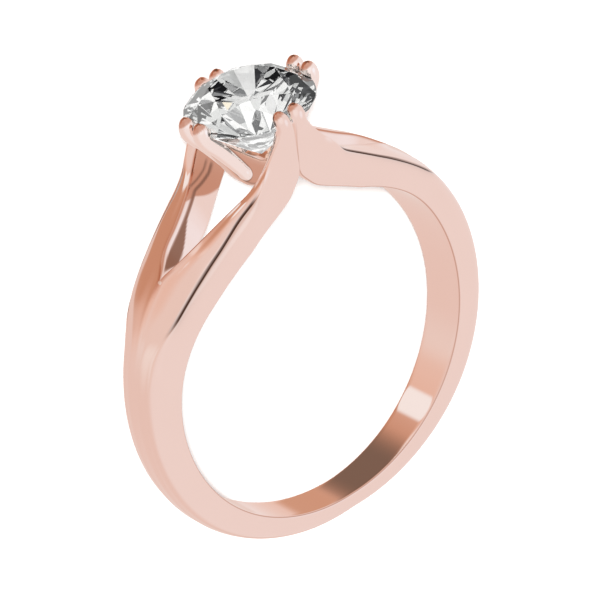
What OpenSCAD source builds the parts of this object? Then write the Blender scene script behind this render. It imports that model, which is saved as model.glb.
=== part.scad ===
// Solitaire ring with a split shank, four double claws and one round brilliant stone.
// The ring is drawn upright, with the finger axis along Y and the stone on top (+Z), and is then
// laid on its side, as it rests by itself on a table. Millimetres.

/* [Finger hole and shank] */
// Inside diameter of the ring
hole_d = 17; // [16:0.1:18]
// Metal thickness at the bottom of the shank
shank_t = 1.05; // [0.95:0.05:1.5]
// Metal thickness at the shoulder, where the shank splits
shoulder_t = 1.76; // [1.5:0.05:1.9]
// Width of the shank at the bottom
shank_w = 1.94; // [1.6:0.02:2.4]
// Width of the shank where it splits
shoulder_w = 4.64; // [4.2:0.02:4.8]
// Angle from the top at which the shank splits into two arms
split_angle = 43; // [40:1:46]

/* [Stone] */
// Diameter of the stone over its girdle
stone_d = 6.3; // [6:0.02:6.4]
// Height of the girdle's lower edge above the finger axis
girdle_z = 13.34; // [13.2:0.02:13.6]
// Width of the table as a share of the stone's diameter
table_share = 0.57; // [0.53:0.01:0.62]
// Angle of the crown's main facets
crown_angle = 34.5; // [32:0.5:36]
// Angle of the pavilion's main facets
pavilion_angle = 40.8; // [40:0.1:42]

/* [Claws] */
// Thickness of one prong
prong_d = 0.86; // [0.7:0.02:1]
// Distance between the two prongs of a side claw
side_prong_gap = 1.06; // [0.9:0.02:1.2]
// Thickness of the basket bar that carries the side claws
basket_t = 0.73; // [0.6:0.01:0.8]

/* [Hidden] */

hole_r = hole_d / 2;
stone_r = stone_d / 2;
girdle_t = 0.15;
lower_share = 0.22;
seat_gap = 0.03;
steps_per_row = 2;

// Where a point of the given angle from the top lies on a circle of the given radius: [x, z]
function polar(r, a) = [r * sin(a), r * cos(a)];

// Smooth value between rows i and i + 1 of a table, by cubic interpolation through all rows
function row(table, i) = table[max(0, min(len(table) - 1, i))];
function between(table, i, t) =
    let (p0 = row(table, i - 1), p1 = row(table, i), p2 = row(table, i + 1), p3 = row(table, i + 2))
    0.5 * (2 * p1 + (p2 - p0) * t + (2 * p0 - 5 * p1 + 4 * p2 - p3) * t * t
        + (3 * p1 - p0 - 3 * p2 + p3) * t * t * t);
function smoothed(table, steps) =
    [for (i = [0 : len(table) - 2], s = [0 : steps - 1]) between(table, i, s / steps), row(table, len(table) - 1)];

// The shank from the bottom up to the split. The shares of thickness and width run from 0 at the
// bottom to 1 at the split; the corner between side and top is a share of that section's size.
shank_rows = [
    // angle from the top, share of thickness, share of width, corner_height, corner_width
    [180, 0.00, 0.00, 0.86, 0.95],
    [155, 0.32, 0.06, 0.87, 0.96],
    [130, 0.67, 0.13, 0.88, 0.97],
    [105, 0.90, 0.20, 0.88, 0.97],
    [85, 1.00, 0.28, 0.87, 0.97],
    [70, 1.06, 0.41, 0.84, 0.97],
    [57, 1.05, 0.65, 0.80, 0.97],
    [split_angle, 0.97, 1.00, 0.77, 0.97],
];

// One section of the shank in the arm's columns: [low_x, low_z, in_low, out_low, corner_x,
// corner_z, corner_y, top_x, top_z, top_y, land, top_bulge, round]
function shank_row(s) =
    let (t = shank_t + (shoulder_t - shank_t) * s[1], hw = (shank_w + (shoulder_w - shank_w) * s[2]) / 2,
        low = polar(hole_r - 0.1, s[0]), corner = polar(hole_r + t * s[3], s[0]), top = polar(hole_r + t, s[0]))
    [low.x, low.y, 0, hw, corner.x, corner.y, hw * s[4], top.x, top.y, 0, hw * 0.3, 0.06, 0];

// Sections of one arm, from the split to the claw tip, in the same columns. Y is measured
// outward from the middle plane, x from the plane through the stone and the finger axis.
arm_rows = [
    // low_x, low_z, in_low, out_low, corner_x, corner_z, corner_y, top_x, top_z, top_y, land, bulge, round
    [5.00, 6.78, 0.40, 2.46, 5.84, 7.89, 2.46, 5.98, 8.17, 0.65, 0.62, 0.05, 0],
    [4.20, 7.28, 0.70, 2.53, 5.00, 8.56, 2.62, 4.97, 8.79, 1.00, 0.70, 0.04, 0],
    [3.42, 7.78, 0.95, 2.53, 4.20, 9.15, 2.78, 4.14, 9.29, 1.15, 0.78, 0.03, 0],
    [2.75, 8.19, 1.25, 2.52, 3.48, 9.66, 2.92, 3.30, 9.70, 1.25, 0.80, 0.02, 0],
    [2.10, 8.57, 1.60, 2.55, 2.88, 10.18, 3.00, 2.55, 10.05, 1.35, 0.70, 0.02, 0],
    [1.40, 8.99, 1.95, 2.63, 2.50, 10.74, 3.00, 2.00, 10.50, 1.50, 0.50, 0.02, 0],
    [0.80, 9.40, 2.20, 2.70, 2.10, 11.29, 3.00, 1.60, 10.85, 1.60, 0.30, 0.02, 0],
    [0.35, 9.90, 2.30, 2.78, 1.72, 11.80, 2.98, 1.25, 11.30, 1.75, 0.20, 0.02, 0.1],
    [-0.06, 10.50, 2.40, 2.85, 1.40, 12.35, 3.08, 1.00, 11.80, 1.95, 0.15, 0.02, 0.2],
    [-0.06, 11.30, 2.45, 3.00, 1.13, 12.80, 3.18, 0.85, 12.30, 2.15, 0.10, 0.02, 0.35],
    [-0.06, 12.20, 2.50, 3.15, 0.98, 13.10, 3.28, 0.75, 12.80, 2.35, 0.10, 0.02, 0.5],
    [-0.04, 12.90, 2.55, 3.34, 0.88, 13.30, 3.36, 0.80, 13.15, 2.50, 0, 0, 0.8],
    [0.02, 13.50, 2.55, 3.38, 0.84, 13.60, 3.38, 0.84, 13.60, 2.55, 0, 0, 1],
    [0.07, 13.83, 2.55, 3.28, 0.78, 13.88, 3.28, 0.78, 13.88, 2.58, 0, 0, 1],
    [0.20, 13.99, 2.65, 3.12, 0.64, 14.02, 3.12, 0.64, 14.02, 2.68, 0, 0, 1],
    [0.36, 14.05, 2.80, 2.98, 0.48, 14.06, 2.98, 0.48, 14.06, 2.80, 0, 0, 1],
];

// A point on the way from p to q, raised from the straight line by a share of a parabola
function bowed(p, q, t, lift) = p + (q - p) * t + lift * 4 * t * (1 - t);

// A point on the way from p to q, drawn toward the corner k, so that the corner is rounded
function rounded(p, k, q, t) =
    let (wp = (1 - t) * (1 - t), wk = 5 * t * (1 - t), wq = t * t) (wp * p + wk * k + wq * q) / (wp + wk + wq);

// The twelve points of a section: bottom, side, rounded corner, top and inner wall in turn, blended
// into an ellipse by the last column, as the arm turns into a round prong
function section(r) =
    let (a = [r[0], r[2], r[1]], b = [r[0], r[3], r[1]], k = [r[4], r[6], r[5]], d = [r[7], r[9], r[8]],
        middle = (a + b + k + d) / 4, up = (k + d - a - b) / 4, out = (b + k - a - d) / 4,
        over = up / norm(up), c = k - [0, r[10], 0] - over * r[10] * 0.1,
        edges = [a, (a + b) / 2, b, for (t = [0.3, 0.5, 0.75]) rounded(b, k, c, t),
            c, for (t = [0.25, 0.5, 0.75]) bowed(c, d, t, over * r[11]), d, (a + d) / 2],
        turns = [225, 270, 315, 337.5, 0, 22.5, 45, 67.5, 90, 112.5, 135, 180])
    [for (i = [0 : 11]) (1 - r[12]) * edges[i] + r[12] * (middle + out * cos(turns[i]) + up * sin(turns[i]))];

// A closed body through a list of sections with the same number of points
module loft(sections) {
    n = len(sections[0]);
    last = len(sections) - 1;
    points = [for (s = sections) each s];
    side = [for (j = [0 : last - 1], i = [0 : n - 1], half = [0, 1])
        let (k = (i + 1) % n, p = j * n, q = (j + 1) * n)
        half == 0 ? [p + i, p + k, q + k] : [p + i, q + k, q + i]];
    start = [[for (i = [0 : n - 1]) n - 1 - i]];
    end = [[for (i = [0 : n - 1]) last * n + i]];
    polyhedron(points, concat(side, start, end), convexity = 8);
}

// One quarter of the metal: half of the shank's width from the bottom up to the split, then an
// arm that climbs to a prong behind the stone
module quarter_rail() {
    shank = [for (s = smoothed(shank_rows, 3)) section(shank_row(s))];
    arm = smoothed(concat([shank_row(shank_rows[len(shank_rows) - 1])], arm_rows), steps_per_row);
    loft(concat(shank, [for (i = [1 : len(arm) - 1]) section(arm[i])]));
}

module rails() {
    for (x = [0, 1], y = [0, 1]) mirror([x, 0, 0]) mirror([0, y, 0]) quarter_rail();
}

// The bar that carries the side claws: half of a U, from the middle to the right claw. The rows
// give its middle line and its slope.
basket_rows = [
    // x, z, slope
    [0, 9.82, 0],
    [0.60, 9.84, 5],
    [1.10, 10.02, 30],
    [1.50, 10.42, 52],
    [2.05, 11.22, 57],
    [2.55, 12.02, 58],
    [3.00, 12.75, 62],
    [3.22, 13.25, 78],
];
basket_half_w = (side_prong_gap + prong_d) / 2;

function basket_section(r) =
    let (normal = [-sin(r[2]), 0, cos(r[2])] * basket_t / 2, across = [0, basket_half_w, 0],
        middle = [r[0], 0, r[1]], k = 0.72)
    [for (c = [[-1, -k], [-k, -1], [k, -1], [1, -k], [1, k], [k, 1], [-k, 1], [-1, k]])
        middle + normal * c.x + across * c.y];

module basket() {
    half = [for (r = smoothed(basket_rows, 2)) basket_section(r)];
    for (x = [0, 1]) mirror([x, 0, 0]) loft(half);
    // The cross bar that ties the basket to the front and back arms, with raised ends
    rotate([90, 0, 90]) linear_extrude(1, center = true)
        polygon([[-2.65, 11.2], [-2.65, 10.6], [-1.5, 9.6], [1.5, 9.6], [2.65, 10.6], [2.65, 11.2],
            [1.5, 10.15], [-1.5, 10.15]]);
}

module side_prongs() {
    for (x = [-1, 1], y = [-1, 1])
        hull() {
            translate([x * 3.02, y * side_prong_gap / 2, 13.62]) sphere(d = prong_d, $fn = 13);
            translate([x * 3.18, y * side_prong_gap / 2, 13.2]) sphere(d = prong_d, $fn = 13);
            translate([x * 2.85, y * side_prong_gap / 2, 12.5]) sphere(d = prong_d * 0.85, $fn = 13);
        }
}

// The stone's outline turned about its own axis, larger by a gap all round
crown_h = stone_r * (1 - table_share) * tan(crown_angle);
pavilion_h = stone_r * tan(pavilion_angle);
module stone_outline(gap) {
    rotate_extrude($fn = 96)
        polygon([[0, girdle_z - pavilion_h - gap * 2], [stone_r + gap, girdle_z - gap / 2],
            [stone_r + gap, girdle_z + girdle_t + gap / 2],
            [stone_r * table_share + gap, girdle_z + girdle_t + crown_h + gap],
            [0, girdle_z + girdle_t + crown_h + gap]]);
}

module upright_metal() {
    difference() {
        resize([0, 2 * rest_claw[0], 0]) union() {
            rails();
            basket();
            side_prongs();
        }
        rotate([90, 0, 0]) cylinder(r = hole_r, h = 12, center = true, $fn = 128);
        stone_outline(seat_gap);
    }
}

// Cuts off what lies outside a flat facet: the plane passes through the height z at the distance
// r from the stone's axis, in the direction turn, and slopes by angle; side is 1 for the crown
// and -1 for the pavilion
module facet(turn, r, z, angle, side) {
    rotate([0, 0, turn]) translate([r, 0, z]) mirror([0, 0, side < 0 ? 1 : 0]) rotate([0, angle, 0])
        translate([-stone_d, -stone_d, 0]) cube([2 * stone_d, 2 * stone_d, stone_d]);
}

// A round brilliant: a table, 8 star, 8 kite and 16 upper girdle facets, a thin girdle, and
// 16 lower girdle and 8 main facets that meet at the culet
module upright_stone() {
    crown_z = girdle_z + girdle_t;
    table_r = stone_r * table_share;
    table_edge_r = table_r * cos(22.5);
    chord_r = stone_r * cos(11.25);
    star_r = (table_edge_r + stone_r) / 2;
    star_z = crown_z + (stone_r - star_r * cos(22.5)) * tan(crown_angle);
    star_angle = atan((crown_z + crown_h - star_z) / (star_r - table_edge_r));
    upper_angle = atan((star_z - crown_z) / (chord_r - star_r * cos(11.25)));
    lower_r = stone_r * lower_share;
    lower_z = girdle_z - pavilion_h + lower_r * cos(22.5) * tan(pavilion_angle);
    lower_angle = atan((girdle_z - lower_z) / (chord_r - lower_r * cos(11.25)));
    difference() {
        translate([0, 0, girdle_z - pavilion_h]) cylinder(r = stone_r, h = pavilion_h + girdle_t + crown_h, $fn = 128);
        for (i = [0 : 7]) {
            facet(45 * i, stone_r, crown_z, crown_angle, 1);
            facet(45 * i + 22.5, star_r, star_z, star_angle, 1);
            facet(45 * i, stone_r, girdle_z, pavilion_angle, -1);
        }
        for (i = [0 : 15]) {
            facet(22.5 * i + 11.25, chord_r, crown_z, upper_angle, 1);
            facet(22.5 * i + 11.25, chord_r, girdle_z, lower_angle, -1);
        }
    }
}

// Laid on its side, with the front up: it leans on the back claws and on the shank's lower rim.
// The two points of contact are given as depth behind the middle plane and upright height.
rest_claw = [3.4, 13.34];
rest_rim = [0.978, -8.845];
lean = atan((rest_claw[0] - rest_rim[0]) / (rest_claw[1] - rest_rim[1]));
rest_z = rest_claw[0] * cos(lean) - rest_claw[1] * sin(lean);
// How far the finger axis lies from the middle of the ring's length
axis_y = -2.509;
module laid_down() {
    translate([0, axis_y, rest_z]) rotate([lean - 90, 0, 0]) children();
}

module shank_and_claws() {
    color([0.93, 0.78, 0.74]) laid_down() upright_metal();
}
module centre_stone() {
    color([0.93, 0.96, 0.98]) laid_down() upright_stone();
}

shank_and_claws();
centre_stone();
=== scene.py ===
import math

import bpy
import numpy as np
from mathutils import Matrix, Vector


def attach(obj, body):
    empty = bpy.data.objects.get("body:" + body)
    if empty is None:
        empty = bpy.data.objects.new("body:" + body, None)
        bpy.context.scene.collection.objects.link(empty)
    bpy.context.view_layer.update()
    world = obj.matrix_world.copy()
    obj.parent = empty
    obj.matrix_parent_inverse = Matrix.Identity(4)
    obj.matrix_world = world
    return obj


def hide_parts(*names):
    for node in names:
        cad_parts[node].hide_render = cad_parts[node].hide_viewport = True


# Solitaire ring with a split shank. The shapes are worked out for a ring that stands upright, with
# the finger axis along y and the stone on top, in millimetres, and are then laid on the table.

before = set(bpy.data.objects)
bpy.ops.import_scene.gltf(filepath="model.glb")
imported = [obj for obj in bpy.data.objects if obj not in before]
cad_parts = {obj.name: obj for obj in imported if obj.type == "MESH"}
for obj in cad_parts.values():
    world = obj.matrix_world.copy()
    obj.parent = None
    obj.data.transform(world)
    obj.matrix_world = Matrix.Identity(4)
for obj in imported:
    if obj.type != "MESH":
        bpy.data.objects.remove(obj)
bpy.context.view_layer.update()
print("frame loaded:", sorted(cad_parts))

layout = {
    "holeRadius": 8.5,
    "halfDepth": 3.4,  # reach of the claws to the front and to the back
    "clawHeight": 13.34,  # where the back claws touch the table, above the finger axis
    "rimDrop": 8.845,  # where the shank's lower rim touches it, below the finger axis
    "rimDepth": 0.978,  # and behind the middle plane
    "axisShift": -2.509,  # from the finger axis to the middle of the laid ring
}
leanRise = layout["halfDepth"] - layout["rimDepth"]
lean = math.atan(leanRise / (layout["clawHeight"] + layout["rimDrop"]))
restHeight = layout["halfDepth"] * math.cos(lean) - layout["clawHeight"] * math.sin(lean)
# Turn about x that lays the ring down: rows give the laid x, y and z
layTurn = np.array(
    [
        [1, 0, 0],
        [0, math.sin(lean), math.cos(lean)],
        [0, -math.cos(lean), math.sin(lean)],
    ]
)


# Turns upright points about x, lifts them to the table and makes millimetres metres.
def laidDown(points):
    return (points @ layTurn.T + [0, layout["axisShift"], restHeight]) * 0.001


# general shape helpers


# Cubic from start to end with the given slopes there, for t from 0 to 1.
def cubic(start, startSlope, end, endSlope, t):
    return (
        start * (2 * t**3 - 3 * t**2 + 1)
        + startSlope * (t**3 - 2 * t**2 + t)
        + end * (3 * t**2 - 2 * t**3)
        + endSlope * (t**3 - t**2)
    )


# Cubic pieces through the rows; the slope at a row is the mean of the slopes on its two
# sides, each weighted by the other side's length.
def throughRows(knots, rows, at):
    gap = np.diff(knots)[:, None]
    slope = np.diff(rows, axis=0) / gap
    inner = (slope[:-1] * gap[1:] + slope[1:] * gap[:-1]) / (gap[:-1] + gap[1:])
    tangent = np.vstack([slope[:1], inner, slope[-1:]])
    piece = np.clip(np.searchsorted(knots, at, side="right") - 1, 0, len(gap) - 1)
    h = gap[piece]
    t = (at[:, None] - knots[piece][:, None]) / h
    return cubic(rows[piece], tangent[piece] * h, rows[piece + 1], tangent[piece + 1] * h, t)


# Each row becomes half of itself and a quarter of each neighbour, with the ends kept.
def relaxed(rows, passes):
    rows = rows.copy()
    for _ in range(passes):
        rows[1:-1] = (rows[:-2] + 2 * rows[1:-1] + rows[2:]) / 4
    return rows


# 0 below low, 1 above high, and the curve 3t^2 - 2t^3 between them; low may exceed high.
def ease(value, low, high):
    t = np.clip((value - low) / (high - low), 0, 1)
    return t * t * (3 - 2 * t)


# A row over its length.
def unit(v):
    return v / np.maximum(np.linalg.norm(v, axis=-1, keepdims=True), 1e-9)


# The point at a distance from start on the way to end, at most this share of the way.
def toward(start, end, distance, most=0.45):
    length = np.linalg.norm(end - start, axis=1, keepdims=True)
    return start + unit(end - start) * np.minimum(distance[:, None], most * length)


# Rational quadratic from start to end that is drawn toward the corner by its weight.
def conic(start, corner, end, weight, t):
    t = t[None, :, None]
    ws, wc, we = (1 - t) ** 2, 2 * weight * t * (1 - t), t**2
    return (start[:, None] * ws + corner[:, None] * wc + end[:, None] * we) / (
        ws + wc + we
    )


# Point = start + t (end - start).
def straight(start, end, t):
    return start[:, None] + (end - start)[:, None] * t[None, :, None]


# Even shares from 0 up to, but without, 1.
def shares(count):
    return np.arange(count) / count


# How far each point lies along the way through all of them.
def wayAlong(points):
    return np.append(0, np.cumsum(np.linalg.norm(np.diff(points, axis=0), axis=1)))


# Points of |u|^n + |v|^n = 1, with n the squareness.
def superellipse(turn, squareness):
    power = 2 / squareness
    u, v = np.cos(turn), np.sin(turn)
    return np.sign(u) * np.abs(u) ** power, np.sign(v) * np.abs(v) ** power


# Sizes of the stone, which the metal keeps clear of
stone = {
    "radius": 3.15,
    "girdleHeight": 13.34,
    "girdleThickness": 0.15,
    "tableShare": 0.57,
    "crownAngle": 34.5,
    "pavilionAngle": 40.8,
    "seatGap": 0.03,
}


# Moves points that lie in the stone's seat outward from its axis, to the stone's radius at
# their height plus a small gap.
def clearOfStone(points):
    s = stone
    crownBase = s["girdleHeight"] + s["girdleThickness"]
    pavilionDepth = s["radius"] * math.tan(math.radians(s["pavilionAngle"]))
    crownHeight = (
        s["radius"] * (1 - s["tableShare"]) * math.tan(math.radians(s["crownAngle"]))
    )
    heights = [
        s["girdleHeight"] - pavilionDepth,
        s["girdleHeight"],
        crownBase,
        crownBase + crownHeight,
    ]
    radii = [0, s["radius"], s["radius"], s["radius"] * s["tableShare"]]
    limit = np.interp(points[..., 2], heights, radii, left=-1, right=-1) + s["seatGap"]
    radius = np.linalg.norm(points[..., :2], axis=-1)
    push = np.where(radius < limit, limit / np.maximum(radius, 1e-6), 1.0)
    moved = points.copy()
    moved[..., :2] *= push[..., None]
    return moved


meshing = {
    "weldSteps": 1e4,  # per millimetre
    "sharpAngle": 38,
    "planeGap": 1e-5,  # how near the plane y = 0 counts as in it
}


# Welds the points, drops empty triangles, turns the faces outward and makes the object.
def meshPiece(name, points, triangles, masks=None):
    keys = np.round(points * meshing["weldSteps"]).astype(np.int64)
    _, first, index = np.unique(keys, axis=0, return_index=True, return_inverse=True)
    index = index.reshape(-1)
    triangles = index[triangles]
    a, b, c = triangles.T
    triangles = triangles[(a != b) & (b != c) & (c != a)]
    points = points[first]
    corners = points[triangles]
    volume = np.einsum(
        "ij,ij->i", corners[:, 0], np.cross(corners[:, 1], corners[:, 2])
    ).sum()
    if volume < 0:
        triangles = triangles[:, ::-1]
    mesh = bpy.data.meshes.new(name)
    mesh.vertices.add(len(points))
    mesh.vertices.foreach_set("co", laidDown(points).ravel())
    mesh.loops.add(triangles.size)
    mesh.loops.foreach_set("vertex_index", triangles.ravel().astype(np.int32))
    mesh.polygons.add(len(triangles))
    mesh.polygons.foreach_set("loop_start", np.arange(len(triangles), dtype=np.int32) * 3)
    mesh.update(calc_edges=True)
    mesh.validate()
    for key, values in (masks or {}).items():
        layer = mesh.attributes.new(key, "FLOAT", "POINT")
        layer.data.foreach_set("value", values[first].astype(np.float32))
    mesh.shade_smooth()
    mesh.set_sharp_from_angle(angle=math.radians(meshing["sharpAngle"]))
    obj = bpy.data.objects.new(name, mesh)
    bpy.context.scene.collection.objects.link(obj)
    print("piece", name, len(points), "points", len(triangles), "triangles")
    return obj


# Two triangles for each cell of a grid whose columns may run round.
def gridTriangles(rows, columns, closed):
    i = np.arange(rows - 1)[:, None]
    j = np.arange(columns if closed else columns - 1)[None, :]
    k = (j + 1) % columns
    a, b = i * columns + j, i * columns + k
    c, d = a + columns, b + columns
    return np.stack([np.stack([a, b, d], -1), np.stack([a, d, c], -1)], 2).reshape(-1, 3)


# A tube whose sections run round, with a fan over its last section. Cells that lie in the
# plane y = 0 are left out, and the rest is mirrored in y and then in x.
def mirroredLoft(grid, masks):
    rows, columns = grid.shape[:2]
    points = np.vstack([grid.reshape(-1, 3), grid[-1].mean(axis=0)])
    values = np.zeros((len(points), masks.shape[-1]))
    values[:-1] = masks.reshape(-1, masks.shape[-1])
    triangles = gridTriangles(rows, columns, True)
    last = (rows - 1) * columns + np.arange(columns)
    fan = np.stack([last, np.roll(last, -1), np.full(columns, rows * columns)], -1)
    triangles = np.vstack([triangles, fan])
    inPlane = np.all(np.abs(points[triangles][:, :, 1]) < meshing["planeGap"], axis=1)
    triangles = triangles[~inPlane]
    for axis in (1, 0):
        flip = np.ones(3)
        flip[axis] = -1
        triangles = np.vstack([triangles, triangles[:, ::-1] + len(points)])
        points = np.vstack([points, points * flip])
        values = np.vstack([values, values])
    return points, triangles, values


# Sizes for the painted copper reflections on the claws' domes
dome = {
    "height": 13.62,
    "radius": 0.42,
    "frontPlace": (0.42, 2.95),  # x and y of the front and back claws' domes
    "sidePlace": (3.17, 0.53),
    "reach": (1.5, 1.3),  # in radii, where the crescent may begin and is whole
    "facing": unit(np.array([-0.29, 0.31, 0.91])),
    "edge": (0.52, 0.68),  # values of q.w between which the crescent's edge lies
    "strength": 0.85,
}


# Painted reflections, crescents in the copper tone, on four claws' domes: share = ease(q.w) with q
# the place from the dome's centre over its radius and w the way that the crescent faces.
def crescents(points, x, y):
    share = np.zeros(len(points))
    for centre in ((-x, -y), (x, -y), (-x, y), (x, y)):
        q = (points - np.array([*centre, dome["height"]])) / dome["radius"]
        near = ease(np.linalg.norm(q, axis=1), *dome["reach"])
        crescent = near * ease(q @ dome["facing"], *dome["edge"])
        share = np.maximum(share, crescent * dome["strength"])
    return share


# shank with the four arms that end in the front and back claws

# Pairs of values are places of a section's corner across the ring, where an effect begins and
# where it is whole
shank = {
    "bottomThickness": 1.05,
    "shoulderThickness": 1.76,
    "bottomWidth": 1.94,
    "shoulderWidth": 4.64,
    "bulge": 0.04,  # of the top face
    "splitAngle": 43,
    "leadAngles": (60.0, 51.0),  # of sections that lead the arm's curves into the split
    "stations": 120,
    "armStations": 150,
    "smoothing": 14,
    "wallBlend": 0.03,  # how softly the low edges join the hole's wall
    "rimRound": 0.10,  # rounding of the finger hole's rim
    "footRound": 0.08,  # rounding of the opening's low edge
    "edgeRound": 0.12,  # rounding of the opening's top edge
    "openShare": 0.3,  # most that the last two take of the opening's half width
    "roundWeight": 0.8,  # how far a rounding is drawn toward its corner
    "shankCorner": 0.80,  # rounding of the shank's outer corners
    "armCorner": 0.58,  # rounding between the side face and the groove
    "armStart": (9.3, 7.9),
    "cornerGather": 1.5,  # columns gather toward the groove
    "topGather": 1.7,  # and so do those of the top face
    "lipSmoothing": 20,
    "lipRise": 0.22,  # how steeply the top face leaves the groove
    "edgeRise": 0.12,  # how much more steeply it reaches its inner edge
    "grooveStart": (8.5, 7.6),
    "grooveEnd": (2.0, 2.35),
    "grooveDepth": 0.08,
    "grooveCove": 0.2,  # reach of the cove toward the side face
    "grooveLip": 0.04,  # reach of the groove under the lip of the top face
    "grooveWidth": 0.07,  # half the width of its painted dark shade line
    # where the painted shade along the groove fades out toward the claw
    "grooveFade": (2.45, 2.85),
    "skirtDepth": 0.38,  # share of the painted shade beside the line, on the side face
    "skirtReach": 0.13,
    "edgeBand": 0.085,  # half the width of the painted reflection line, in the copper tone, on the opening's top edge
    "edgeStart": (7.6, 6.6),
    "rimLine": 0.03,  # half the width of the painted shade line on the finger hole's rim
    # shares of the dark and the copper tone in that painted shade line
    "rimDark": 0.12,
    "rimShadeCopper": 0.85,
}

# How many columns each part of a section has, in their order
sectionColumns = {
    "wall": 5,
    "rim": 6,
    "side": 7,
    "corner": 21,
    "top": 13,
    "edge": 6,
    "inner": 22,
    "foot": 4,
}
# And between which angles, in degrees, each lies where the section is an ellipse
sectionAngles = {
    "wall": (231, 309),
    "rim": (309, 321),
    "side": (321, 350),
    "corner": (350, 400),
    "top": (40, 129),
    "edge": (129, 141),
    "inner": (141, 219),
    "foot": (219, 231),
}
rimColumn = sectionColumns["wall"] + sectionColumns["rim"] // 2
lipColumn = sum(sectionColumns[part] for part in ("wall", "rim", "side", "corner"))
edgeColumn = lipColumn + sectionColumns["top"] + sectionColumns["edge"] // 2
footColumn = edgeColumn + sectionColumns["edge"] // 2 + sectionColumns["inner"]

# Dark reflection down the inner wall, in shares of the wall's width from the opening's top edge.
# Its pairs are places across the ring, as the shank's are.
streak = {
    "begins": 0.18,
    "climb": 0.33,  # how much further down it begins near the claw
    "climbStart": (3.2, 2.3),
    "rise": 0.08,  # how much further up it begins near the split
    "riseStart": (5.5, 6.5),
    "narrow": 0.10,  # its width near the claw
    "growth": 0.34,  # and what the width gains toward the split
    "growthStart": (4.1, 5.7),
    "closing": (6.6, 5.9),
    "fading": (6.6, 6.3),
    "softness": 0.025,
    "secondShift": 0.14,  # of a thin second line near the claw
    "secondWidth": 0.035,
    "secondStart": (3.3, 3.0),
    "clawEnd": (2.0, 2.2),
    "wallEnd": 1.02,
    # shares of the copper and the dark tone in this painted reflection
    "warmth": 1.0,
    "depth": 0.6,
}

# Painted shade in the copper tone on the inner wall, on the claws' side of a line. The line's place
# across the ring starts at the top edge and falls with the share of the wall's width, faster up to
# the bend.
wallShade = {"start": 3.9, "steep": 2, "bend": 0.3, "softness": 0.05, "clawEnd": (1.0, 1.6)}

# Along an arm by the x of its corner: distance from the corner to the groove on the top face
grooveLine = np.array(
    [
        [2.0, 0.08],
        [2.37, 0.09],
        [2.6, 0.24],
        [2.8, 0.41],
        [3.1, 0.51],
        [3.45, 0.55],
        [3.8, 0.53],
        [4.1, 0.46],
        [4.5, 0.40],
        [4.9, 0.35],
        [5.6, 0.33],
        [6.7, 0.25],
        [8.2, 0.10],
        [8.8, 0.30],
    ]
)


# From the bottom up to the split: angle from the top, share of thickness, share of width, and the
# corner's place as a share of the height and of the half width
shankRows = np.array(
    [
        [180, 0.00, 0.00, 0.90, 0.96],
        [155, 0.32, 0.06, 0.91, 0.97],
        [130, 0.67, 0.13, 0.92, 0.98],
        [105, 0.90, 0.20, 0.92, 0.98],
        [85, 1.00, 0.28, 0.91, 0.98],
        [70, 1.06, 0.41, 0.88, 0.98],
        [57, 1.05, 0.65, 0.83, 0.97],
        [43, 0.97, 1.00, 0.77, 0.97],
    ]
)

# One arm from the split to its claw's tip: low x, low z, inner and outer low y, corner x, z and y,
# top x, z and y, bulge of the top face, and how round the section is
armRows = np.array(
    [
        [5.00, 6.78, 0.40, 2.46, 5.84, 7.89, 2.46, 5.98, 8.33, 0.65, 0.05, 0],
        [4.20, 7.28, 0.70, 2.53, 5.00, 8.56, 2.62, 4.96, 8.91, 0.99, 0.04, 0],
        [3.42, 7.78, 0.95, 2.53, 4.20, 9.15, 2.78, 4.20, 9.38, 1.27, 0.03, 0],
        [2.75, 8.19, 1.25, 2.52, 3.48, 9.66, 2.92, 3.54, 9.81, 1.55, 0.02, 0],
        [2.10, 8.57, 1.60, 2.55, 2.88, 10.18, 3.00, 3.02, 10.18, 1.82, 0.02, 0],
        [1.40, 8.99, 1.95, 2.63, 2.50, 10.74, 3.00, 2.53, 10.58, 2.10, 0.02, 0],
        [0.80, 9.40, 2.20, 2.70, 2.10, 11.29, 3.00, 2.10, 11.00, 2.28, 0.02, 0],
        [0.35, 9.90, 2.30, 2.78, 1.72, 11.80, 2.98, 1.70, 11.45, 2.37, 0.02, 0.1],
        [-0.06, 10.50, 2.40, 2.85, 1.40, 12.35, 3.08, 1.32, 11.90, 2.42, 0.02, 0.2],
        [-0.06, 11.30, 2.45, 3.00, 1.13, 12.80, 3.18, 1.03, 12.35, 2.45, 0.02, 0.35],
        [-0.06, 12.20, 2.50, 3.15, 0.98, 13.10, 3.28, 0.82, 12.80, 2.48, 0.02, 0.5],
        [-0.04, 12.90, 2.55, 3.34, 0.88, 13.30, 3.36, 0.80, 13.15, 2.50, 0, 0.8],
        [0.02, 13.50, 2.55, 3.38, 0.84, 13.60, 3.38, 0.84, 13.60, 2.55, 0, 1],
        [0.05, 13.83, 2.55, 3.31, 0.80, 13.88, 3.31, 0.80, 13.88, 2.57, 0, 1],
        [0.13, 13.98, 2.60, 3.20, 0.72, 14.01, 3.20, 0.72, 14.01, 2.62, 0, 1],
        [0.31, 14.055, 2.75, 3.03, 0.53, 14.065, 3.03, 0.53, 14.065, 2.76, 0, 1],
    ]
)


# Turns rows of angle and shares into the arm's columns, with all of a section on the straight
# line from the finger axis at its angle
def shankSections(rows):
    turn = np.radians(rows[:, 0])
    thickness = (
        shank["bottomThickness"]
        + (shank["shoulderThickness"] - shank["bottomThickness"]) * rows[:, 1]
    )
    halfWidth = (
        shank["bottomWidth"]
        + (shank["shoulderWidth"] - shank["bottomWidth"]) * rows[:, 2]
    ) / 2
    radii = np.stack(
        [
            np.full(len(rows), layout["holeRadius"]),
            layout["holeRadius"] + thickness * rows[:, 3],
            layout["holeRadius"] + thickness,
        ]
    )
    x, z = radii * np.sin(turn), radii * np.cos(turn)
    zero = np.zeros(len(rows))
    low = [x[0], z[0], zero, halfWidth]
    corner = [x[1], z[1], halfWidth * rows[:, 4]]
    top = [x[2], z[2], zero, zero + shank["bulge"], zero]
    return np.stack(low + corner + top, axis=1)


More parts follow.
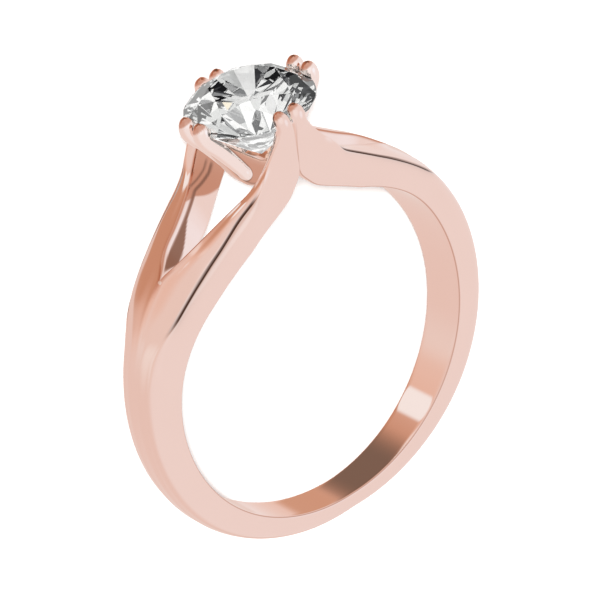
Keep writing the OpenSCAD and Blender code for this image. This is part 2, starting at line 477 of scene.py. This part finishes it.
# All stations of one quarter of the ring, as the arm's columns. The shank's rows are joined
# by angle and the arm's by the way that its corner goes.
def railColumns():
    angle = np.linspace(180, shank["splitAngle"], shank["stations"])
    lower = shankSections(throughRows(-shankRows[:, 0], shankRows, -angle))
    leadAngle = np.array([*shank["leadAngles"], shank["splitAngle"]])
    lead = shankSections(throughRows(-shankRows[:, 0], shankRows, -leadAngle))
    rows = np.vstack([lead, armRows])
    way = wayAlong((rows[:, [0, 3, 1]] + rows[:, [4, 6, 5]] + rows[:, [7, 9, 8]]) / 3)
    split = len(lead) - 1
    at = np.linspace(way[split], way[-1], shank["armStations"] + 1)[1:]
    upper = throughRows(way, rows, at)
    opening = throughRows(way[split:], rows[split:][:, [2, 9]], at)
    smooth = relaxed(np.vstack([lower, upper]), shank["smoothing"])
    smooth[:, [2, 9]] = 0
    smooth[shank["stations"] :, [2, 9]] = np.maximum(opening, 0)
    return smooth


# Each section runs along the hole's wall, up the side face, round the corner to the groove,
# over the top face and down the inner wall: its four edges are a, b, k and d. The last column
# blends it into an ellipse. The second result is the way into the metal from the top face.
def railSections(columns, grooveAndShade, armShare):
    lowX, lowZ, lowInner, lowOuter, cornerX, cornerZ, cornerY = columns.T[:7]
    topX, topZ, topY, bulge, oval = columns.T[7:]
    reach = np.linalg.norm(columns[:, :2], axis=1)
    wall, blend = layout["holeRadius"], shank["wallBlend"]
    kept = (reach + wall + np.sqrt((reach - wall) ** 2 + blend**2)) / 2 - blend / 2
    outward = np.maximum(kept, wall) / reach
    a = np.stack([lowX * outward, lowInner, lowZ * outward], 1)
    b = np.stack([lowX * outward, lowOuter, lowZ * outward], 1)
    k = np.stack([cornerX, cornerY, cornerZ], 1)
    d = np.stack([topX, topY, topZ], 1)
    middle = (a + b + k + d) / 4
    up = (k + d - a - b) / 4
    out = (b + k - a - d) / 4

    corner = shank["shankCorner"]
    lipReach = np.interp(cornerX, grooveLine[:, 0], grooveLine[:, 1])
    lipReach = corner + (lipReach - corner) * armShare
    lipReach = relaxed(lipReach[:, None], shank["lipSmoothing"])[:, 0]
    cornerRound = corner + (shank["armCorner"] - corner) * armShare
    rimRound = np.full(len(columns), shank["rimRound"])
    edgeRound = np.minimum(shank["edgeRound"], shank["openShare"] * topY)
    footRound = np.minimum(shank["footRound"], shank["openShare"] * lowInner)
    a1, b1 = toward(a, b, footRound), toward(b, a, rimRound)
    b2, k1 = toward(b, k, rimRound), toward(k, b, cornerRound)
    k2, d1 = toward(k, d, lipReach), toward(d, k, edgeRound)
    d2, a2 = toward(d, a, edgeRound), toward(a, d, footRound)

    at = {part: shares(count) for part, count in sectionColumns.items()}
    fromGroove = np.linspace(1, 0, sectionColumns["corner"] + 1)[:-1]
    at["corner"] = 1 - fromGroove ** shank["cornerGather"]
    at["top"] = at["top"] ** shank["topGather"]
    t = at["top"][None, :, None]
    span = np.linalg.norm(d1 - k2, axis=1)[:, None, None]
    rise = unit(up) * (shank["lipRise"] * grooveAndShade)[:, None]
    steeper = np.array([0, shank["edgeRise"], 0])
    leave = unit(unit(d - k) + rise)[:, None] * span
    arrive = unit(unit(d - k) + steeper)[:, None] * span
    topFace = cubic(k2[:, None], leave, d1[:, None], arrive, t)
    topFace = topFace + unit(up)[:, None] * bulge[:, None, None] * 16 * (t**2 * (1 - t) ** 2)
    weight = shank["roundWeight"]
    parts = [
        straight(a1, b1, at["wall"]),
        conic(b1, b, b2, weight, at["rim"]),
        straight(b2, k1, at["side"]),
        conic(k1, k, k2, weight, at["corner"]),
        topFace,
        conic(d1, d, d2, weight, at["edge"]),
        straight(d2, a2, at["inner"]),
        conic(a2, a, a1, weight, at["foot"]),
    ]
    outline = np.concatenate(parts, axis=1)
    angles = [low + (high - low) * at[part] for part, (low, high) in sectionAngles.items()]
    turns = np.radians(np.concatenate(angles))
    ellipse = (
        middle[:, None]
        + out[:, None] * np.cos(turns)[None, :, None]
        + up[:, None] * np.sin(turns)[None, :, None]
    )
    oval = oval[:, None, None]
    return outline * (1 - oval) + ellipse * oval, unit(middle - (k + d) / 2)[:, None]


# Shares of the dark tone of painted shade, of the copper tone of painted reflection and shade, and
# of the painted dark reflection streak down the inner wall. Walk is the way round a section, and
# lines on the surface fall off with the distance along it.
def railPaintedLight(columns, walk, grooveAndShade, onShank):
    cornerX, flatness = columns[:, 4, None], 1 - columns[:, 11, None]
    fromRim = walk - walk[:, rimColumn, None]
    fromLip = walk - walk[:, lipColumn, None]
    fromEdge = walk - walk[:, edgeColumn, None]
    line = np.exp(-((fromLip / shank["grooveWidth"]) ** 4))
    skirt = shank["skirtDepth"] * np.exp(fromLip / shank["skirtReach"])
    grooveShade = np.maximum(line, np.where(fromLip < 0, skirt, 0))
    grooveShade = grooveShade * (grooveAndShade[:, None] * ease(cornerX, *shank["grooveFade"]))
    rimLine = np.exp(-((fromRim / shank["rimLine"]) ** 2)) * flatness
    edgeLine = np.exp(-((fromEdge / shank["edgeBand"]) ** 4))
    edgeLine = edgeLine * ease(cornerX, *shank["edgeStart"]) * flatness

    share = fromEdge / (walk[:, footColumn, None] - walk[:, edgeColumn, None])
    onWall = ((share > 0) & (share < streak["wallEnd"])) * (~onShank)[:, None]
    begins = streak["begins"] + streak["climb"] * ease(cornerX, *streak["climbStart"])
    begins = begins - streak["rise"] * ease(cornerX, *streak["riseStart"])
    ends = begins + streak["narrow"] + streak["growth"] * ease(cornerX, *streak["growthStart"])
    ends = begins + (ends - begins) * ease(cornerX, *streak["closing"])
    soft = streak["softness"]
    band = ease(share, begins - soft, begins + soft) * ease(share, ends + soft, ends - soft)
    second = (share - begins + streak["secondShift"]) / streak["secondWidth"]
    second = np.exp(-(second**2)) * ease(cornerX, *streak["secondStart"])
    band = np.maximum(band * ease(cornerX, *streak["fading"]), second)
    band = band * ease(cornerX, *streak["clawEnd"]) * onWall

    bend, soft = wallShade["bend"], wallShade["softness"]
    fall = wallShade["start"] - wallShade["steep"] * np.minimum(share, bend)
    fall = fall - np.maximum(share - bend, 0)
    shaded = ease(cornerX, fall + soft, fall - soft)
    shaded = shaded * ease(cornerX, *wallShade["clawEnd"]) * onWall
    dark = np.maximum(grooveShade, shank["rimDark"] * rimLine)
    copperReflectionAndShade = np.maximum(np.maximum(edgeLine, shaded), shank["rimShadeCopper"] * rimLine)
    return np.stack([dark, copperReflectionAndShade, band], axis=-1)


# The sections with the groove pressed in beside the corner, and their painted shade and
# reflections. The groove starts in the upper half of the shank's stations at the earliest.
def railGrid():
    columns = railColumns()
    cornerX = columns[:, 4]
    onShank = np.arange(len(columns)) < shank["stations"] // 2
    grooveAndShade = ease(cornerX, *shank["grooveStart"]) * ease(cornerX, *shank["grooveEnd"])
    armShare = ease(cornerX, *shank["armStart"])
    grooveAndShade[onShank] = armShare[onShank] = 0
    grid, inward = railSections(columns, grooveAndShade, armShare)
    steps = np.linalg.norm(np.diff(grid, axis=1), axis=2)
    walk = np.concatenate([np.zeros((len(grid), 1)), np.cumsum(steps, axis=1)], axis=1)
    away = walk - walk[:, lipColumn, None]
    cove = np.exp(away / shank["grooveCove"])
    lip = np.exp(-((away / shank["grooveLip"]) ** 2))
    depth = np.where(away < 0, cove, lip) * grooveAndShade[:, None]
    grid = grid + inward * (depth * shank["grooveDepth"])[..., None]
    grid[..., 1] = np.maximum(grid[..., 1], 0)
    return clearOfStone(grid), railPaintedLight(columns, walk, grooveAndShade, onShank)


rail, railMasks = railGrid()
rail[..., 1] *= layout["halfDepth"] / rail[..., 1].max()
points, triangles, masks = mirroredLoft(rail, railMasks)
# The streak's painted dark reflection stays on the left arms, and the front and back claws' domes
# get painted copper reflections
leftStreak = np.where(points[:, 0] < 0, masks[:, 2], 0)
domeReflection = crescents(points, *dome["frontPlace"])
copperReflectionAndShade = np.maximum(masks[:, 1], leftStreak * streak["warmth"])
shankAndArms = meshPiece(
    "shankAndArms",
    points,
    triangles,
    {
        "grooveAndShade": np.maximum(masks[:, 0], leftStreak * streak["depth"]),
        "copperReflectionAndShade": np.maximum(copperReflectionAndShade, domeReflection),
    },
)

# basket: a U-shaped plate under the stone, with two round claws along each side of it

basket = {
    "stations": 90,
    "around": 96,
    "fineSteps": 4001,  # round the section, from which the even columns are taken
    "smoothing": 6,
    "halfWidth": 0.47,
    "halfThickness": 0.55,  # for even columns only
    "squareness": 6.0,
    "sideStart": (0.9, 0.97),  # in half widths, where the flat side begins
    "lineShare": -0.84,  # of the painted dark shade line on the side, from -1 outside to 1 inside
    "lineWidth": 0.07,
    # edge softness of the painted copper reflection above the line
    "reflectionSoftness": 0.05,
    "contactGap": 0.02,
    "contactWidth": 0.045,  # of the painted contact shadow round the rods
    # strength of the plate's painted shade and copper reflection
    "tint": 0.8,
    "clawSpread": 0.53,
    "clawStations": 90,
    "clawAround": 32,
    "clawGather": 0.6,  # how much the stations gather at both ends
    "clawSmoothing": 3,
    "rodRows": 8,  # of the claw's rows, those that lie on the plate
    "rodSteps": 161,
    "leastRadius": 0.01,  # of a claw's ends
    "footReach": (0.2, 0.05),  # where the painted shade at its lower end begins and is whole
    "footShade": 0.7,
}

# Half of the plate from the middle: outer x and z, inner x and z
plateRows = np.array(
    [
        [0, 9.38, 0, 10.42],
        [0.62, 9.39, 0.35, 10.62],
        [1.23, 9.62, 0.80, 11.05],
        [1.74, 10.20, 1.25, 11.52],
        [2.22, 11.08, 1.78, 12.05],
        [2.65, 11.97, 2.28, 12.55],
        [3.00, 12.62, 2.70, 12.95],
        [3.18, 13.00, 2.95, 13.20],
    ]
)

# Middle line and radius of a claw, from its round lower end to its tip
clawRows = np.array(
    [
        [1.27, 10.16, 0.03],
        [1.31, 10.22, 0.17],
        [1.40, 10.38, 0.28],
        [1.62, 10.78, 0.31],
        [2.10, 11.58, 0.345],
        [2.66, 12.46, 0.385],
        [3.10, 13.06, 0.42],
        [3.26, 13.38, 0.43],
        [3.25, 13.60, 0.43],
        [3.20, 13.79, 0.405],
        [3.13, 13.92, 0.32],
        [3.07, 13.99, 0.18],
        [3.05, 14.015, 0.03],
    ]
)


# Superellipse sections from the outer to the inner line, cut at y = 0, with even columns.
def plateGrid():
    way = wayAlong(plateRows[:, :2])
    rows = throughRows(way, plateRows, np.linspace(0, way[-1], basket["stations"]))
    rows = relaxed(rows, basket["smoothing"])
    halfWidth = basket["halfWidth"]
    u, v = superellipse(np.linspace(0, 2 * math.pi, basket["fineSteps"]), basket["squareness"])
    v = v * halfWidth
    steps = wayAlong(np.stack([u * basket["halfThickness"], v], 1))
    even = np.linspace(0, steps[-1], basket["around"], endpoint=False)
    u, v = np.interp(even, steps, u), np.interp(even, steps, v)
    middle, across = (rows[:, 2:] + rows[:, :2]) / 2, (rows[:, 2:] - rows[:, :2]) / 2
    flat = middle[:, None] + across[:, None] * u[None, :, None]
    y = np.broadcast_to(np.maximum(v, 0), flat.shape[:2])

    # Painted shade: a dark line along the side and a contact shadow round the rods; painted
    # reflection in the copper tone above the line
    onSide = ease(v, *(halfWidth * np.array(basket["sideStart"])))
    place = basket["lineShare"]
    line = np.exp(-(((u - place) / basket["lineWidth"]) ** 2)) * onSide
    above = ease(u, place - basket["reflectionSoftness"], place) * onSide
    rodPlaces = np.linspace(0, basket["rodRows"], basket["rodSteps"])
    rod = throughRows(np.arange(len(clawRows)), clawRows, rodPlaces)
    gap = np.linalg.norm(flat[:, :, None] - rod[None, None, :, :2], axis=-1)
    gap = (gap - rod[:, 2]).min(axis=-1)
    contact = np.maximum(gap - basket["contactGap"], 0) / basket["contactWidth"]
    dark = np.maximum(line, np.exp(-(contact**2)) * onSide) * basket["tint"]
    copperReflectionAndShade = np.broadcast_to(above * basket["tint"], dark.shape)
    grid = clearOfStone(np.stack([flat[..., 0], y, flat[..., 1]], axis=-1))
    return grid, np.stack([dark, copperReflectionAndShade], axis=-1)


# Circles across a middle line that bends toward the stone, one claw on each side of y = 0.
def clawGrid():
    way = wayAlong(clawRows[:, :2])
    share = np.linspace(0, 1, basket["clawStations"])
    wave = np.sin(2 * math.pi * share) / (2 * math.pi)
    rows = throughRows(way, clawRows, way[-1] * (share - basket["clawGather"] * wave))
    line = relaxed(rows[:, :2], basket["clawSmoothing"])
    along = unit(np.gradient(line, axis=0))
    turn = np.linspace(0, 2 * math.pi, basket["clawAround"], endpoint=False)
    radius = np.maximum(rows[:, 2], basket["leastRadius"])[:, None]
    u, v = radius * np.cos(turn), radius * np.sin(turn)
    x = line[:, 0][:, None] - along[:, 1][:, None] * u
    z = line[:, 1][:, None] + along[:, 0][:, None] * u
    y = np.broadcast_to(basket["clawSpread"] + v, x.shape)
    # Painted shade at the claw's lower end, where it meets the plate
    foot = ease(wayAlong(line), *basket["footReach"]) * basket["footShade"]
    masks = np.broadcast_to(foot[:, None, None], x.shape + (1,))
    return clearOfStone(np.stack([x, y, z], axis=-1)), masks


points, triangles, masks = mirroredLoft(*plateGrid())
plateMasks = {"grooveAndShade": masks[:, 0], "copperReflectionAndShade": masks[:, 1]}
basketPlate = meshPiece("basketPlate", points, triangles, plateMasks)
points, triangles, masks = mirroredLoft(*clawGrid())
clawMasks = {"grooveAndShade": masks[:, 0], "copperReflectionAndShade": crescents(points, *dome["sidePlace"])}
sideClaws = meshPiece("sideClaws", points, triangles, clawMasks)

# cross bar between the front arms, the basket and the back arms

crossBar = {"halfWidth": 0.5, "squareness": 4.0, "stations": 60, "around": 40}

# Half of the bar from the middle to the back: y, z, half height
crossRows = np.array(
    [
        [0, 9.875, 0.275],
        [0.9, 9.875, 0.275],
        [1.5, 9.93, 0.28],
        [2.1, 10.36, 0.30],
        [2.62, 10.86, 0.30],
        [2.72, 10.95, 0.12],
    ]
)


# Superellipse sections, upright in x and z, carried along y and mirrored to the front.
def crossBarGrid():
    at = np.linspace(0, crossRows[-1, 0], crossBar["stations"])
    rows = throughRows(crossRows[:, 0], crossRows, at)
    turn = np.linspace(0, 2 * math.pi, crossBar["around"], endpoint=False)
    u, w = superellipse(turn, crossBar["squareness"])
    x = np.broadcast_to(u * crossBar["halfWidth"], (len(at), len(turn)))
    y = np.broadcast_to(rows[:, 0][:, None], x.shape)
    z = rows[:, 1][:, None] + w[None] * rows[:, 2][:, None]
    half = np.stack([x, y, z], axis=-1)
    return np.concatenate([half[::-1] * [1, -1, 1], half[1:]])


# A tube through the grid's sections with a fan over each end.
def closedTube(grid):
    rows, columns = grid.shape[:2]
    count = rows * columns
    points = np.vstack([grid.reshape(-1, 3), grid[0].mean(0), grid[-1].mean(0)])
    first = np.arange(columns)
    last = first + count - columns
    fans = [
        np.stack([np.roll(first, -1), first, np.full(columns, count)], -1),
        np.stack([last, np.roll(last, -1), np.full(columns, count + 1)], -1),
    ]
    return points, np.vstack([gridTriangles(rows, columns, True), *fans])


tieBar = meshPiece("crossBar", *closedTube(crossBarGrid()))

# materials

metal = {
    "lightTone": (0.925, 0.725, 0.655, 1),
    "deepTone": (0.905, 0.70, 0.625, 1),
    # The side claws' tones are a lighter, lit copy and the plate's a darker, shaded copy of the
    # body's rose gold: painted light and shade
    "clawLitTones": ((0.985, 0.86, 0.81, 1), (0.96, 0.81, 0.75, 1)),
    "plateShadedTones": ((0.84, 0.58, 0.47, 1), (0.78, 0.50, 0.39, 1)),
    # The dark tone of painted shade and the copper tone of painted reflection and shade
    "grooveAndShadeTone": (0.075, 0.034, 0.022, 1),
    "copperReflectionAndShadeTone": (0.62, 0.30, 0.20, 1),
    "roughness": 0.045,
    "hairlines": 0.02,
    "softScale": 260.0,  # of the noise in the tone, per metre
    "hairScale": 2600.0,
    "hairStretch": (1, 9, 9),
    "waveHeight": 0.0000015,
    "waveStrength": 0.5,
}

gem = {
    "ior": 2.42,
    "coolTone": (0.985, 0.99, 1.0, 1),
    "warmTone": (1.0, 0.995, 0.975, 1),
    "cloudScale": 420.0,
}


# A node of a kind, with values for its sockets or its settings by their names.
def addNode(tree, kind, **values):
    node = tree.nodes.new(kind)
    for key, value in values.items():
        if key in node.inputs:
            node.inputs[key].default_value = value
        else:
            setattr(node, key, value)
    return node


# Tone = mix of two colours by soft noise; roughness and height = base plus noise, with fine
# hairlines from stretched noise.
def polishGroup():
    tree = bpy.data.node_groups.new("handPolish", "ShaderNodeTree")
    face = tree.interface
    for name, way, kind in (
        ("Light Tone", "INPUT", "NodeSocketColor"),
        ("Deep Tone", "INPUT", "NodeSocketColor"),
        ("Roughness", "INPUT", "NodeSocketFloat"),
        ("Hairlines", "INPUT", "NodeSocketFloat"),
        ("Color", "OUTPUT", "NodeSocketColor"),
        ("Roughness", "OUTPUT", "NodeSocketFloat"),
        ("Height", "OUTPUT", "NodeSocketFloat"),
    ):
        face.new_socket(name, in_out=way, socket_type=kind)
    link = tree.links.new
    given = addNode(tree, "NodeGroupInput")
    result = addNode(tree, "NodeGroupOutput")
    place = addNode(tree, "ShaderNodeTexCoord")
    stretch = addNode(tree, "ShaderNodeMapping", Scale=metal["hairStretch"])
    soft = addNode(tree, "ShaderNodeTexNoise", Scale=metal["softScale"], Detail=2.0)
    hair = addNode(tree, "ShaderNodeTexNoise", Scale=metal["hairScale"], Detail=3.0)
    mixTone = addNode(tree, "ShaderNodeMix", data_type="RGBA")
    hairShare = addNode(tree, "ShaderNodeMath", operation="MULTIPLY")
    roughSum = addNode(tree, "ShaderNodeMath", operation="ADD")
    heightSum = addNode(tree, "ShaderNodeMath", operation="MULTIPLY_ADD")
    link(place.outputs["Object"], soft.inputs["Vector"])
    link(place.outputs["Object"], stretch.inputs["Vector"])
    link(stretch.outputs["Vector"], hair.inputs["Vector"])
    link(soft.outputs["Fac"], mixTone.inputs["Factor"])
    link(given.outputs["Light Tone"], mixTone.inputs["A"])
    link(given.outputs["Deep Tone"], mixTone.inputs["B"])
    link(mixTone.outputs["Result"], result.inputs["Color"])
    link(hair.outputs["Fac"], hairShare.inputs[0])
    link(given.outputs["Hairlines"], hairShare.inputs[1])
    link(given.outputs["Roughness"], roughSum.inputs[0])
    link(hairShare.outputs[0], roughSum.inputs[1])
    link(roughSum.outputs[0], result.inputs["Roughness"])
    link(hair.outputs["Fac"], heightSum.inputs[0])
    link(given.outputs["Hairlines"], heightSum.inputs[1])
    link(soft.outputs["Fac"], heightSum.inputs[2])
    link(heightSum.outputs[0], result.inputs["Height"])
    return tree


handPolish = polishGroup()


# Polished metal whose tone goes toward the copper tone of painted reflection and shade and then
# toward the dark tone of painted shade by the piece's own masks.
def roseGold(name, tones, hairlines, withMasks):
    material = bpy.data.materials.new(name)
    material.use_nodes = True
    tree = material.node_tree
    link = tree.links.new
    shader = tree.nodes["Principled BSDF"]
    shader.inputs["Metallic"].default_value = 1.0
    polish = addNode(tree, "ShaderNodeGroup", node_tree=handPolish)
    polish.inputs["Light Tone"].default_value = tones[0]
    polish.inputs["Deep Tone"].default_value = tones[1]
    polish.inputs["Roughness"].default_value = metal["roughness"]
    polish.inputs["Hairlines"].default_value = hairlines
    wave = {"Strength": metal["waveStrength"], "Distance": metal["waveHeight"]}
    bump = addNode(tree, "ShaderNodeBump", **wave)
    link(polish.outputs["Height"], bump.inputs["Height"])
    link(bump.outputs["Normal"], shader.inputs["Normal"])
    link(polish.outputs["Roughness"], shader.inputs["Roughness"])
    tone = polish.outputs["Color"]
    for maskName in ("copperReflectionAndShade", "grooveAndShade") if withMasks else ():
        mask = addNode(tree, "ShaderNodeAttribute", attribute_name=maskName)
        deepen = addNode(tree, "ShaderNodeMix", data_type="RGBA")
        deepen.inputs["B"].default_value = metal[maskName + "Tone"]
        link(mask.outputs["Fac"], deepen.inputs["Factor"])
        link(tone, deepen.inputs["A"])
        tone = deepen.outputs["Result"]
    link(tone, shader.inputs["Base Color"])
    return material


# Clear glass that bends light as the stone does, with a tint between two tones by soft noise.
def clearStone():
    material = bpy.data.materials.new("clearStone")
    material.use_nodes = True
    tree = material.node_tree
    link = tree.links.new
    shader = tree.nodes["Principled BSDF"]
    shader.inputs["IOR"].default_value = gem["ior"]
    shader.inputs["Transmission Weight"].default_value = 1.0
    shader.inputs["Roughness"].default_value = 0.0
    place = addNode(tree, "ShaderNodeTexCoord")
    cloud = addNode(tree, "ShaderNodeTexNoise", Scale=gem["cloudScale"], Detail=2.0)
    tint = addNode(tree, "ShaderNodeMix", data_type="RGBA")
    tint.inputs["A"].default_value = gem["coolTone"]
    tint.inputs["B"].default_value = gem["warmTone"]
    link(place.outputs["Object"], cloud.inputs["Vector"])
    link(cloud.outputs["Fac"], tint.inputs["Factor"])
    link(tint.outputs["Result"], shader.inputs["Base Color"])
    return material


bodyTones = (metal["lightTone"], metal["deepTone"])
# Each piece with its two tones, lighter lit and darker shaded copies of the body's for the side
# claws and the plate, its share of the hairlines and whether its masks of painted light tint it
for piece, tones, hairShare, withMasks in (
    (shankAndArms, bodyTones, 1.0, True),
    (basketPlate, metal["plateShadedTones"], 1.5, True),
    (sideClaws, metal["clawLitTones"], 0.9, True),
    (tieBar, bodyTones, 1.2, False),
):
    gold = roseGold(piece.name + "Gold", tones, metal["hairlines"] * hairShare, withMasks)
    piece.data.materials.append(gold)
    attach(piece, "root")
    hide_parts("shank_and_claws")
    piece.visible_transmission = False
    piece.visible_glossy = piece is sideClaws

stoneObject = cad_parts["centre_stone"]
stoneMaterial = clearStone()
for place in stoneObject.material_slots:
    place.material = stoneMaterial
print("materials done")

# camera, at the photograph's angle to the ring

cameraView = {
    "turn": 0.5614,  # radians round the stone's axis from the ring's front
    "rise": 0.5444,  # radians toward the stone
    "roll": -0.2324,
    "distance": 220.0,  # millimetres, as are the shifts
    "shiftRight": -0.314,
    "shiftUp": 2.016,
    "focal": 4595.38,  # in pixels of the picture
    "pictureWidth": 600,
    "sensor": 36,
    "clip": (0.01, 20),  # metres
}


# The back direction comes from turn and rise; right and up are then rolled about it.
def placeCamera():
    v = cameraView
    s, c = math.sin(v["turn"]), math.cos(v["turn"])
    back = np.array(
        [-s * math.cos(v["rise"]), -c * math.cos(v["rise"]), math.sin(v["rise"])]
    )
    side = np.array([c, -s, 0])
    top = np.cross(back, side)
    right = math.cos(v["roll"]) * side + math.sin(v["roll"]) * top
    up = -math.sin(v["roll"]) * side + math.cos(v["roll"]) * top
    spot = v["shiftRight"] * right + v["shiftUp"] * up + v["distance"] * back
    data = bpy.data.cameras.new("photoView")
    data.sensor_width = v["sensor"]
    data.lens = v["focal"] / v["pictureWidth"] * v["sensor"]
    data.clip_start, data.clip_end = v["clip"]
    cam = bpy.data.objects.new("photoView", data)
    bpy.context.scene.collection.objects.link(cam)
    axes = layTurn @ np.stack([right, up, back], axis=1)
    matrix = Matrix([[*axes[i], 0] for i in range(3)] + [[0, 0, 0, 1]])
    matrix.translation = Vector(laidDown(spot))
    cam.matrix_world = matrix
    bpy.context.scene.camera = cam


placeCamera()

# pale floor and soft studio light

studio = {
    "floorHalf": 1.5,
    "floorTone": (0.93, 0.925, 0.92, 1),
    "floorRoughness": 0.9,
    "floorShine": 0.1,
    "cellTurn": (0.3, 2.2, 1.1),  # radians
    "cellScale": 4.4,
    "fillTone": (1, 0.995, 0.99, 1),
    "fillStrength": 0.95,
    "sunStrength": 3.0,
    "sunSpread": 6.0,  # degrees
    "roomTone": (0.92, 0.87, 0.87, 1),
}


# A direction in the laid ring's frame. Azimuth turns from the ring's front to its right and
# elevation rises toward the stone, both in degrees.
def fromFront(azimuth, elevation):
    a, e = math.radians(azimuth), math.radians(elevation)
    upright = np.array([math.sin(a) * math.cos(e), -math.cos(a) * math.cos(e), math.sin(e)])
    return layTurn @ upright


# A square on the table's level that the metal doesn't mirror and the stone doesn't show.
def paleFloor():
    h = studio["floorHalf"]
    mesh = bpy.data.meshes.new("floor")
    mesh.from_pydata([(-h, -h, 0), (h, -h, 0), (h, h, 0), (-h, h, 0)], [], [(0, 1, 2, 3)])
    floor = bpy.data.objects.new("floor", mesh)
    bpy.context.scene.collection.objects.link(floor)
    material = bpy.data.materials.new("paleFloor")
    material.use_nodes = True
    shader = material.node_tree.nodes["Principled BSDF"]
    shader.inputs["Base Color"].default_value = studio["floorTone"]
    shader.inputs["Roughness"].default_value = studio["floorRoughness"]
    shader.inputs["Specular IOR Level"].default_value = studio["floorShine"]
    mesh.materials.append(material)
    floor.visible_glossy = False
    floor.visible_transmission = False


# The sun shines from the given direction and shows neither in the metal nor through the stone.
def softSun(towardLight):
    light = bpy.data.lights.new("softSun", "SUN")
    light.energy = studio["sunStrength"]
    light.angle = math.radians(studio["sunSpread"])
    sun = bpy.data.objects.new("softSun", light)
    sun.rotation_mode = "QUATERNION"
    sun.rotation_quaternion = Vector(towardLight).to_track_quat("Z", "Y")
    sun.visible_glossy = False
    sun.visible_transmission = False
    bpy.context.scene.collection.objects.link(sun)


# 0 outside the outer angle from a direction and 1 inside the inner angle, eased between.
def lobe(tree, ray, direction, outerAngle, innerAngle):
    dot = addNode(tree, "ShaderNodeVectorMath", operation="DOT_PRODUCT")
    tree.links.new(ray, dot.inputs[0])
    dot.inputs[1].default_value = direction
    share = addNode(tree, "ShaderNodeMapRange", interpolation_type="SMOOTHSTEP")
    share.inputs["From Min"].default_value = math.cos(math.radians(outerAngle))
    share.inputs["From Max"].default_value = math.cos(math.radians(innerAngle))
    tree.links.new(dot.outputs["Value"], share.inputs["Value"])
    return share.outputs["Result"]


# Mix of two colours, each a fixed tone or another node's output.
def mixed(tree, factor, first, second):
    node = addNode(tree, "ShaderNodeMix", data_type="RGBA")
    tree.links.new(factor, node.inputs["Factor"])
    for socket, value in ((node.inputs["A"], first), (node.inputs["B"], second)):
        if isinstance(value, tuple):
            socket.default_value = value
        else:
            tree.links.new(value, socket)
    return node.outputs["Result"]


# What shows through the stone: each cell of the room has a share by chance and takes the tone
# that holds from that share on
stonePanels = (
    (0.0, (1.14, 1.14, 1.13, 1)),
    (0.44, (0.84, 0.85, 0.84, 1)),
    (0.62, (0.32, 0.325, 0.33, 1)),
    (0.80, (0.05, 0.05, 0.055, 1)),
    (0.985, (1.02, 0.90, 0.66, 1)),
)

# What the metal mirrors, from back to front: azimuth, elevation, outer and inner angle, tone
softPanels = (
    (-115, 25, 45, 15, (0.88, 0.77, 0.73, 1)),
    (-140, 2, 17, 6, (0.93, 0.96, 0.97, 1)),
    (-114, 2, 14, 5, (0.97, 0.99, 0.99, 1)),
    (-40, 32, 46, 10, (0.98, 0.98, 1.00, 1)),
    (28, -2, 30, 10, (0.98, 1.04, 1.12, 1)),
    (176, 18, 56, 34, (0.86, 0.62, 0.52, 1)),
    (176, 18, 40, 26, (0.63, 0.35, 0.235, 1)),
    (-176, -40, 46, 41, (0.84, 0.70, 0.65, 1)),
    (-130, -38, 60, 25, (0.865, 0.735, 0.695, 1)),
    (150, 55, 26, 16, (0.63, 0.35, 0.235, 1)),
    (162, 42, 26, 8, (0.22, 0.155, 0.12, 1)),
    (138, 16, 15, 7, (0.68, 0.41, 0.29, 1)),
    (-156, 58, 14, 9, (0.97, 0.90, 0.87, 1)),
    (-149, 35, 7.5, 5, (1.00, 1.08, 1.12, 1)),
)


# The polished metal mirrors a pale room with the soft panels above, the stone shows the cells
# of light and dark, and all else gets an even white fill.
def studioWorld():
    world = bpy.data.worlds.new("studio")
    bpy.context.scene.world = world
    world.use_nodes = True
    tree = world.node_tree
    link = tree.links.new
    background = tree.nodes["Background"]
    ray = addNode(tree, "ShaderNodeTexCoord").outputs["Generated"]
    path = addNode(tree, "ShaderNodeLightPath")

    room = studio["roomTone"]
    for azimuth, elevation, outer, inner, tone in softPanels:
        room = mixed(tree, lobe(tree, ray, fromFront(azimuth, elevation), outer, inner), room, tone)

    turned = addNode(tree, "ShaderNodeMapping", Rotation=studio["cellTurn"])
    cells = addNode(tree, "ShaderNodeTexVoronoi", Scale=studio["cellScale"])
    link(ray, turned.inputs["Vector"])
    link(turned.outputs["Vector"], cells.inputs["Vector"])
    pick = addNode(tree, "ShaderNodeSeparateColor")
    link(cells.outputs["Color"], pick.inputs["Color"])
    shade = addNode(tree, "ShaderNodeValToRGB")
    shade.color_ramp.interpolation = "CONSTANT"
    for _ in range(len(stonePanels) - 2):
        shade.color_ramp.elements.new(0.5)
    for element, (place, tone) in zip(shade.color_ramp.elements, stonePanels):
        element.position = place
        element.color = tone
    link(pick.outputs["Red"], shade.inputs["Fac"])
    sparkle = shade.outputs["Color"]

    tone = mixed(tree, path.outputs["Is Glossy Ray"], studio["fillTone"], room)
    inStone = addNode(tree, "ShaderNodeMath", operation="MAXIMUM")
    link(path.outputs["Is Transmission Ray"], inStone.inputs[0])
    link(path.outputs["Is Singular Ray"], inStone.inputs[1])
    tone = mixed(tree, inStone.outputs[0], tone, sparkle)
    link(tone, background.inputs["Color"])
    strength = addNode(tree, "ShaderNodeMapRange")
    strength.inputs["To Min"].default_value = 1.0
    strength.inputs["To Max"].default_value = studio["fillStrength"]
    link(path.outputs["Is Diffuse Ray"], strength.inputs["Value"])
    link(strength.outputs["Result"], background.inputs["Strength"])


paleFloor()
softSun(bpy.context.scene.camera.matrix_world.col[2][:3])
studioWorld()
bpy.context.scene.view_settings.view_transform = "Standard"
print("studio done")
